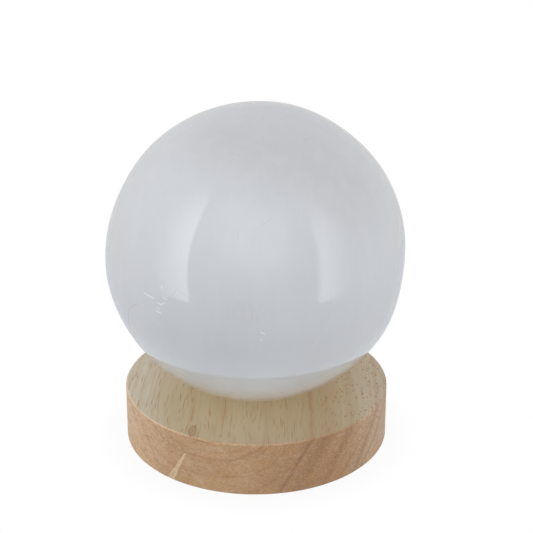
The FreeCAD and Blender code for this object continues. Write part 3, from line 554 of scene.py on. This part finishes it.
def knot(shade, place):
    """A small eye in the top, drawn out along the grain."""
    x, y, half = KNOT
    uneven = shade.swing(shade.grain(place, (0.7, 1.6, 0.7)), 1.1)
    away = shade.away(place, (x, y, TOP_MM), (half, KNOT_LENGTH * half, half))
    away = shade.math("ADD", away, uneven)
    from_rim = shade.math("ABSOLUTE", shade.math("SUBTRACT", away, 1.0))
    rim = shade.ease(from_rim, 0.1, 0.45, 0.65, 0.0)
    eye = shade.ease(away, 0.15, 0.6, 0.7, 0.0)
    fill = shade.ease(away, 0.9, 1.1, 0.42, 0.0)
    return shade.chain("MAXIMUM", rim, eye, fill)


def spot(shade, place):
    """A small brown spot in the top."""
    x, y, half = SPOT
    away = shade.away(place, (x, y, TOP_MM), (half, SPOT_LENGTH * half, half))
    return shade.ease(away, 0.4, 1.0, 0.6, 0.0)


def sliver(shade, place, mottle):
    """A pale wedge let into the side, with a lighter outline."""
    tip, foot = on_rim(*SLIVER_TIP), on_rim(*SLIVER_FOOT)
    along = foot - tip
    outwards = Vector((tip.x + foot.x, tip.y + foot.y, 0)).normalized()
    across = along.cross(outwards).normalized()
    offset = shade.vector("SUBTRACT", place, tuple(tip))
    reach = shade.vector("DOT_PRODUCT", offset, tuple(along / along.length_squared))
    ragged = shade.swing(shade.grain(place, (1.6, 1.6, 1.6), 3.0), 0.9)
    sideways = shade.vector("DOT_PRODUCT", offset, tuple(across))
    aside = shade.math("ABSOLUTE", shade.math("ADD", sideways, ragged))
    widening = shade.times(reach, SLIVER_FOOT_WIDTH - SLIVER_TIP_WIDTH)
    half = shade.math("ADD", widening, SLIVER_TIP_WIDTH)
    inside = shade.ease(shade.math("SUBTRACT", aside, half), -0.15, 0.2, 1.0, 0.0)
    outline = shade.ease(shade.math("SUBTRACT", half, aside), 0.2, 0.55, 0.8, 0.0)
    pale = shade.math("MAXIMUM", outline, shade.ease(mottle, 0.38, 0.62, 0.2, 0.75))
    started = shade.ease(reach, 0.0, 0.05)
    inwards = shade.vector("DOT_PRODUCT", offset, tuple(-outwards))
    front = shade.math("LESS_THAN", inwards, RIM_MM / 2)
    return shade.times(inside, pale, started, front)


def rim_highlight(shade, place, fibres):
    """A thin pale line along the upper edge, most of it at the left of the front: a painted highlight
    where the edge catches the light.
    """
    x, y, z = shade.parts(place)
    radius = shade.vector("LENGTH", shade.joined(x, y, 0.0))
    inwards = shade.math("SUBTRACT", RIM_MM + TOP_MM, shade.math("ADD", radius, z))
    edge = shade.ease(inwards, *HIGHLIGHT_IN)
    upper = shade.ease(shade.math("SUBTRACT", TOP_MM, z), *HIGHLIGHT_DOWN)
    lefter = shade.ease(x, *HIGHLIGHT_SPAN, 0.65, 0.1)
    patchy = shade.ease(fibres, 0.35, 0.6, 0.3, 1.0)
    return shade.times(edge, upper, lefter, patchy)


def ringed_wood(shade, place, ring, upwards):
    """The wood's growth rings and blotches, paler towards its left and right ends; on the top that
    paleness is partly a painted sheen of reflected light.
    """
    x = shade.split(place)["X"]
    end = shade.ease(shade.math("ABSOLUTE", x), *END_SPAN)
    # The top's paler ends: partly the wood's own tone, partly a painted sheen of reflected light
    pale_top = shade.mix(end, PALE_TOP, PALE_TOP_END_AND_SHEEN)
    deep_top = shade.mix(end, DEEP_TOP, DEEP_TOP_END_AND_SHEEN)
    pale_end = shade.mix(shade.ease(x, *LEFT_TO_RIGHT), PALE_SIDE_LEFT, PALE_SIDE_RIGHT)
    pale_side = shade.mix(end, PALE_SIDE, pale_end)
    deep_side = shade.mix(end, DEEP_SIDE, DEEP_SIDE_END)
    pale = shade.mix(upwards, pale_side, pale_top)
    deep = shade.mix(upwards, deep_side, deep_top)
    bands = shade.grain(shade.joined(ring, 0.0, 0.0), (5.0, 1.0, 1.0), 4.0, 0.65)
    heart = shade.ease(x, *HEART_SPAN, -0.25, 0.2)
    body = shade.mix(shade.ease(shade.math("ADD", bands, heart), 0.2, 0.85), pale, deep)
    blotches = shade.grain(place, (14.0, 45.0, 14.0), 3.0, 0.6)
    return shade.mix(shade.ease(blotches, 0.35, 0.75, 0.0, 0.35), body, deep)


def warmed_side(shade, place, body, sideways):
    """Warmer and cooler clouds in the side."""
    warmth = shade.grain(place, (7.0, 10.0, 3.5), 3.0, 0.6)
    warm = shade.times(sideways, shade.ease(warmth, 0.48, 0.68, 0.0, 0.4))
    cool = shade.times(sideways, shade.ease(warmth, 0.46, 0.3, 0.0, 0.4))
    return shade.mix(cool, shade.mix(warm, body, WARM_SIDE), COOL_SIDE)


def dusted_side(shade, place, body, sideways):
    """Fine dark and pale specks in the side, and the pale flecks."""
    dust = shade.grain(place, (0.55, 0.9, 0.55), 3.0, 0.6)
    speckle = shade.times(sideways, shade.ease(shade.split(place)["X"], *SPECK_SPAN, 0.15, 0.42))
    body = shade.mix(shade.times(shade.ease(dust, 0.5, 0.68), speckle), body, DUST_DARK)
    paler = shade.times(sideways, shade.ease(dust, 0.46, 0.32, 0.0, 0.28))
    body = shade.mix(paler, body, DUST_PALE)
    near = shade.ease(shade.away(place, on_rim(*FLECKED)), 1.0, FLECKED_REACH, 1.0, 0.0)
    flecks = shade.times(near, shade.ease(dust, 0.5, 0.4), 0.38)
    return shade.mix(flecks, body, FLECK_COLOUR)


def rubberwood():
    """Oiled rubberwood: soft growth rings about a line along Y, with open pores drawn out along it."""
    shade = Shader("rubberwood")
    place = shade.place()
    flowing = round_knot(shade, place)
    upwards = shade.ease(shade.split(shade.facing())["Z"], *TOP_FACING)
    sideways = shade.math("SUBTRACT", 1.0, upwards)
    ring = growth(shade, flowing)
    lines = shade.grain(shade.joined(ring, 7.0, 0.0), (2.2, 1.0, 1.0))
    fibres = shade.grain(flowing, (0.5, 26.0, 0.5), 3.0, 0.6)
    mottle = shade.grain(flowing, (1.0, 16.0, 1.0), 3.0, 0.65)
    pores = open_pores(shade, flowing)

    body = ringed_wood(shade, place, ring, upwards)
    body = warmed_side(shade, place, body, sideways)
    streak = shade.mix(upwards, STREAK_SIDE, STREAK_TOP)
    body = shade.mix(shade.ease(mottle, 0.42, 0.72, 0.0, 0.35), body, streak)
    drawn = shade.times(shade.ease(lines, 0.52, 0.68), shade.ease(upwards, 0.0, 1.0, 0.42, 0.25))
    body = shade.mix(drawn, body, streak)
    body = shade.mix(shade.ease(fibres, 0.45, 0.8, 0.0, 0.35), body, streak)
    body = shade.mix(veins(shade, flowing, upwards), body, shade.mix(upwards, VEIN_SIDE, VEIN_TOP))
    body = dusted_side(shade, place, body, sideways)
    body = shade.mix(knot(shade, place), body, KNOT_COLOUR)
    body = shade.mix(spot(shade, place), body, SPOT_COLOUR)
    body = shade.mix(sliver(shade, place, mottle), body, SLIVER_COLOUR)
    opened = shade.times(pores, shade.ease(upwards, 0.0, 1.0, 0.3, 0.95))
    body = shade.mix(opened, body, shade.mix(upwards, VESSEL_SIDE, VESSEL_TOP))
    height = shade.math("SUBTRACT", shade.times(fibres, 0.3), pores)
    return shade.finish(
        # A painted highlight along the upper edge
        Base_Color=shade.mix(rim_highlight(shade, place, fibres), body, RIM_HIGHLIGHT_COLOUR),
        Roughness=shade.ease(fibres, 0.2, 0.8, 0.40, 0.56),
        Normal=shade.bump(height, 0.06, 0.6),
    )


# Plastics, rubber and boards

def moulded(name, colour, worn, roughness, texture_mm):
    """Moulded plastic or rubber with a fine texture and slightly worn high spots."""
    shade = Shader(name)
    place = shade.place()
    texture = shade.grain(place, (texture_mm,) * 3)
    handling = shade.grain(place, (9.0, 9.0, 9.0), 3.0)
    share = shade.times(shade.ease(texture, 0.45, 0.75), shade.ease(handling, 0.3, 0.8))
    return shade.finish(
        Base_Color=shade.mix(share, colour, worn),
        Roughness=shade.ease(handling, 0.25, 0.75, roughness - 0.08, roughness + 0.08),
        Normal=shade.bump(texture, 0.03, 0.5),
    )


def clear_soft(name, colour, roughness, depth_mm):
    """Milky see-through plastic or silicone, lit through its depth."""
    shade = Shader(name)
    place = shade.place()
    haze = shade.grain(place, (6.0, 6.0, 6.0), 3.0)
    frost = shade.grain(place, (0.25, 0.25, 0.25))
    paler = tuple(min(1.0, part * 1.08) for part in colour)
    return shade.finish(
        Base_Color=shade.mix(haze, colour, paler),
        Roughness=shade.ease(frost, 0.2, 0.8, roughness - 0.06, roughness + 0.06),
        Subsurface_Weight=0.5,
        Subsurface_Radius=(1.0, 1.0, 1.0),
        Subsurface_Scale=depth_mm * MM,
        Normal=shade.bump(frost, 0.02, 0.4),
    )


def coated_board(name, colour, trace):
    """A circuit board's lacquer over faint copper traces."""
    shade = Shader(name)
    place = shade.place()
    weave = shade.grain(place, (0.35, 0.35, 0.35))
    wander = shade.grain(place, (4.0, 4.0, 4.0), 0.0)
    tracks = shade.math("PINGPONG", shade.times(wander, 12.0), 1.0)
    traced = shade.ease(tracks, 0.35, 0.45)
    tinted = shade.mix(shade.times(traced, 0.6), colour, trace)
    return shade.finish(
        Base_Color=shade.mix(shade.ease(weave, 0.4, 0.8, 0.0, 0.2), tinted, trace),
        Roughness=shade.ease(weave, 0.2, 0.8, 0.28, 0.42),
        Normal=shade.bump(traced, 0.02, 0.5),
    )


def light_chip():
    """A white frame round a dished lens of yellow phosphor."""
    shade = Shader("led_phosphor")
    place = shade.place()
    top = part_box("led_chips")[1].z / MM
    sunk = shade.ease(shade.split(place)["Z"], top - 0.15, top - 0.05, 1.0, 0.0)
    upwards = shade.ease(shade.split(shade.facing())["Z"], 0.5, 0.9)
    specks = shade.grain(place, (0.12, 0.12, 0.12))
    phosphor = shade.mix(specks, (0.78, 0.56, 0.10), (0.90, 0.70, 0.20))
    frame_white = shade.mix(specks, (0.74, 0.74, 0.72), (0.84, 0.84, 0.82))
    return shade.finish(
        Base_Color=shade.mix(shade.times(sunk, upwards), frame_white, phosphor),
        Roughness=shade.ease(specks, 0.2, 0.8, 0.28, 0.4),
        Normal=shade.bump(specks, 0.01, 0.4),
    )


# Metals

def drawn_metal(name, colour, roughness, line_size, stain=0.85):
    """Metal with fine drawn or turned lines and faint staining."""
    shade = Shader(name)
    place = shade.place()
    lines = shade.grain(place, line_size, 3.0, 0.6)
    stains = shade.grain(place, (1.6, 1.6, 1.6), 3.0)
    stained = tuple(part * stain for part in colour)
    return shade.finish(
        Base_Color=shade.mix(shade.ease(stains, 0.3, 0.8), colour, stained),
        Metallic=1.0,
        Roughness=shade.ease(lines, 0.2, 0.8, roughness - 0.07, roughness + 0.1),
        Normal=shade.bump(lines, 0.008, 0.5),
    )


# Dressing the lamp

def dress(material, *names):
    """Gives the named pieces a material."""
    for name in names:
        nodes[name].material_slots[0].material = material


carved_ball()
dress(rubberwood(), "wood_base")
dress(clear_soft("clear_silicone", (0.72, 0.73, 0.72), 0.42, 2.0), "seat_ring")
dress(clear_soft("frosted_acrylic", (0.80, 0.80, 0.79), 0.38, 2.5), "light_window")
dress(moulded("white_plastic", (0.80, 0.80, 0.78), (0.86, 0.86, 0.85), 0.35, 0.4), "reflector_ring")
dress(coated_board("board_white", (0.76, 0.77, 0.75), (0.66, 0.67, 0.65)), "led_board")
dress(light_chip(), "led_chips")
dress(moulded("black_component", (0.022, 0.022, 0.024), (0.06, 0.06, 0.062), 0.45, 0.2),
      "led_resistors", "driver_components")
dress(moulded("black_plastic", (0.022, 0.022, 0.023), (0.055, 0.055, 0.056), 0.48, 0.35),
      "bottom_cover", "rear_panel")
dress(moulded("black_rubber", (0.018, 0.018, 0.019), (0.05, 0.049, 0.048), 0.72, 0.5), "rubber_feet")
dress(moulded("black_component_plastic", (0.015, 0.015, 0.016), (0.04, 0.04, 0.041), 0.4, 0.25),
      "socket_tongue", "switch_housing")
dress(moulded("button_plastic", (0.035, 0.035, 0.037), (0.075, 0.075, 0.077), 0.3, 0.3), "push_button")
dress(coated_board("board_green", (0.012, 0.11, 0.05), (0.03, 0.19, 0.085)), "control_board")
dress(moulded("red_insulation", (0.42, 0.018, 0.015), (0.52, 0.04, 0.035), 0.42, 0.5), "red_wire")
dress(moulded("black_insulation", (0.018, 0.018, 0.019), (0.045, 0.045, 0.046), 0.42, 0.5), "black_wire")
dress(drawn_metal("zinc_steel", (0.60, 0.60, 0.61), 0.34, (0.15, 0.15, 0.6)),
      "led_board_screws", "cover_screws", "control_board_screws")
dress(drawn_metal("black_steel", (0.045, 0.045, 0.047), 0.38, (0.15, 0.6, 0.15)), "panel_screws")
dress(drawn_metal("socket_steel", (0.62, 0.63, 0.64), 0.26, (0.12, 3.0, 0.12)), "socket_shell")
dress(drawn_metal("gold_contact", (0.86, 0.63, 0.27), 0.24, (0.1, 1.5, 0.1), 0.92), "socket_contacts")
dress(drawn_metal("spring_steel", (0.58, 0.58, 0.59), 0.28, (0.2, 0.2, 0.2)), "button_spring")
dress(drawn_metal("solder", (0.66, 0.66, 0.67), 0.3, (0.4, 0.4, 0.4)), "solder_joints")


# Button spring

def soft_spring():
    """The dressed coil behind the button, as a piece of its own on the base."""
    piece = bpy.data.objects.new("coil_spring", nodes["button_spring"].data.copy())
    bpy.context.scene.collection.objects.link(piece)
    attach(piece, "base")
    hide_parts("button_spring")
    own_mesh(piece)


soft_spring()


# Camera

CAMERA_DISTANCE = 0.678
CAMERA_PITCH = math.radians(24.715)
CAMERA_AIM = Vector((0.0039, 0.0, 0.070))
LENS_MM = 122.5
SENSOR_MM = 36.0


def make_camera():
    data = bpy.data.cameras.new("camera")
    data.sensor_width = SENSOR_MM
    data.lens = LENS_MM
    camera = bpy.data.objects.new("camera", data)
    backwards = Vector((0, -math.cos(CAMERA_PITCH), math.sin(CAMERA_PITCH)))
    camera.location = CAMERA_AIM + backwards * CAMERA_DISTANCE
    camera.rotation_euler = (math.pi / 2 - CAMERA_PITCH, 0, 0)
    bpy.context.scene.collection.objects.link(camera)
    bpy.context.scene.camera = camera


make_camera()


# Floor and background

FLOOR_RADIUS = 0.27
FLOOR_SIDES = 128
FLOOR_WHITE = 0.5
# How white the floor looks beside the base, where its shadow shows, and how far out that goes
FLOOR_BESIDE, SHADOW_REACH = 0.94, 1.3
# The background's light on matte surfaces
AMBIENT = 0.31
# How white gloss shows the floor and the background, and the floor's tint there
FLOOR_MIRRORED = 0.46
WORLD_MIRRORED = 0.56
FLOOR_TINT = (0.94, 0.98, 1.05)


def seen_rays(tree, mirrored):
    """1 for the eye, a given share of it in gloss and glass, and 0 on the way to a matte surface."""
    path = tree.nodes.new("ShaderNodeLightPath")
    seen = path.outputs["Is Camera Ray"]
    for name in ("Is Glossy Ray", "Is Transmission Ray"):
        part = tree.nodes.new("ShaderNodeMath")
        part.operation = "MULTIPLY"
        part.inputs[1].default_value = mirrored
        tree.links.new(path.outputs[name], part.inputs[0])
        either = tree.nodes.new("ShaderNodeMath")
        either.operation = "MAXIMUM"
        tree.links.new(seen, either.inputs[0])
        tree.links.new(part.outputs[0], either.inputs[1])
        seen = either.outputs[0]
    return seen


def floor_white():
    """White for the eye, apart from the lamp's shadow close to it, and matte for the light."""
    shade = Shader("floor_white")
    away = shade.vector("LENGTH", shade.place())
    share = shade.ease(away, RIM_MM, RIM_MM * SHADOW_REACH, FLOOR_BESIDE, 1.0)
    matte = shade.node("ShaderNodeBsdfDiffuse")
    shade.feed(matte.inputs["Color"], (FLOOR_WHITE, FLOOR_WHITE, FLOOR_WHITE, 1.0))
    white = shade.node("ShaderNodeEmission")
    in_gloss = shade.node("ShaderNodeLightPath").outputs["Is Glossy Ray"]
    shade.feed(white.inputs["Color"], shade.mix(in_gloss, (1.0, 1.0, 1.0), FLOOR_TINT))
    mixer = shade.node("ShaderNodeMixShader")
    shade.feed(mixer.inputs[0], shade.times(share, seen_rays(shade.tree, FLOOR_MIRRORED)))
    shade.feed(mixer.inputs[1], matte.outputs[0])
    shade.feed(mixer.inputs[2], white.outputs[0])
    output = shade.node("ShaderNodeOutputMaterial")
    shade.feed(output.inputs["Surface"], mixer.outputs[0])
    return shade.material


def make_floor():
    """A white disc that keeps the lamp's shadow near it and fades into the background."""
    mesh = bmesh.new()
    bmesh.ops.create_circle(mesh, cap_ends=True, segments=FLOOR_SIDES, radius=FLOOR_RADIUS)
    data = bpy.data.meshes.new("floor")
    mesh.to_mesh(data)
    mesh.free()
    floor = bpy.data.objects.new("floor", data)
    bpy.context.scene.collection.objects.link(floor)
    data.materials.append(floor_white())


def make_world():
    """Plain even light for the lamp, and a white background for the eye, gloss and glass."""
    world = bpy.data.worlds.new("studio")
    bpy.context.scene.world = world
    world.use_nodes = True
    tree = world.node_tree
    tree.nodes.clear()
    strength = tree.nodes.new("ShaderNodeMapRange")
    strength.inputs["To Min"].default_value = AMBIENT
    tree.links.new(seen_rays(tree, WORLD_MIRRORED), strength.inputs["Value"])
    background = tree.nodes.new("ShaderNodeBackground")
    background.inputs["Color"].default_value = (1.0, 1.0, 1.0, 1.0)
    tree.links.new(strength.outputs[0], background.inputs["Strength"])
    output = tree.nodes.new("ShaderNodeOutputWorld")
    tree.links.new(background.outputs[0], output.inputs["Surface"])


make_floor()
make_world()


# Lamps

LAMP_DISTANCE = 0.9
# Softboxes that show in gloss: name, azimuth and elevation, size, brightness, fades across and up, and
# roll. Gloss shows a share of each one's light, so that the ball's edge clips less, and an unseen twin
# gives the rest
SEEN_SHARE = 0.55
SOFTBOXES = (
    ("left_softbox", (-70, 32), (0.55, 1.98), 2.2, ((0.92, 0.05), (0.02, 0.55)), 7),
    ("right_softbox", (60.5, 32), (0.55, 1.98), 1.88, ((0.21, 0.8), (0.02, 0.9)), -3),
    ("front_softbox", (0, 33), (1.3, 1.3), 0.87, ((0.4, 0.4), (0.4, 0.4)), None),
)
# Lamps that gloss doesn't show: name, azimuth and elevation, and brightness
FILLS = (
    ("left_fill", (-90, 34), 1.85), ("front_fill", (40, 20), 0.96), ("right_fill", (90, 15), 0.91),
    ("back_fill", (180, 5), 1.12), ("top_fill", (0, 88), 0.36),
)
FILL_SIZE = (1.3, 1.3)
FILL_FADES = ((0.4, 0.4), (0.4, 0.4))


def soft_edges(tree, fades):
    """A lamp's strength, which rises from each edge over a share of its width and height.

    The fades are those shares across and up, each at the first and at the last edge.
    """
    parts = tree.nodes.new("ShaderNodeSeparateXYZ")
    tree.links.new(tree.nodes.new("ShaderNodeNewGeometry").outputs["Parametric"], parts.inputs[0])
    strength = None
    for axis, (at_first, at_last) in zip("XY", fades):
        for edge, full in ((0.0, at_first), (1.0, 1.0 - at_last)):
            rise = tree.nodes.new("ShaderNodeMapRange")
            rise.interpolation_type = "SMOOTHSTEP"
            rise.inputs["From Min"].default_value = edge
            rise.inputs["From Max"].default_value = full
            tree.links.new(parts.outputs[axis], rise.inputs["Value"])
            if strength is None:
                strength = rise.outputs[0]
                continue
            both = tree.nodes.new("ShaderNodeMath")
            both.operation = "MULTIPLY"
            tree.links.new(strength, both.inputs[0])
            tree.links.new(rise.outputs[0], both.inputs[1])
            strength = both.outputs[0]
    return strength


def softbox(name, place, size, brightness, fades, glossy, roll=None):
    """A soft-edged lamp that faces the ball, at an azimuth from the front to the right and an elevation.

    With a roll, in degrees, the lamp stands upright at that height and leans sideways.
    """
    azimuth, elevation = place
    wide, tall = size
    data = bpy.data.lights.new(name, "AREA")
    data.shape = "RECTANGLE"
    data.size = wide
    data.size_y = tall
    data.energy = brightness * math.pi * wide * tall
    data.use_shadow = False
    data.cycles.use_multiple_importance_sampling = glossy
    data.use_nodes = True
    emission = next(node for node in data.node_tree.nodes if node.type == "EMISSION")
    data.node_tree.links.new(soft_edges(data.node_tree, fades), emission.inputs["Strength"])
    lamp = bpy.data.objects.new(name, data)
    out = on_ball(azimuth, elevation)
    facing = out.to_track_quat("Z", "Y")
    if roll is not None:
        out /= math.cos(math.radians(elevation))
        level = on_ball(azimuth, 0)
        facing = Quaternion(level, math.radians(roll)) @ level.to_track_quat("Z", "Y")
    lamp.location = BALL_CENTRE + out * LAMP_DISTANCE
    lamp.rotation_euler = facing.to_euler()
    lamp.visible_glossy = glossy
    bpy.context.scene.collection.objects.link(lamp)


for name, place, size, brightness, fades, roll in SOFTBOXES:
    softbox(name, place, size, brightness * SEEN_SHARE, fades, True, roll)
    softbox(name + "_unseen", place, size, brightness * (1 - SEEN_SHARE), fades, False, roll)
for name, place, brightness in FILLS:
    softbox(name, place, FILL_SIZE, brightness, FILL_FADES, False)

bpy.context.scene.view_settings.view_transform = "Standard"
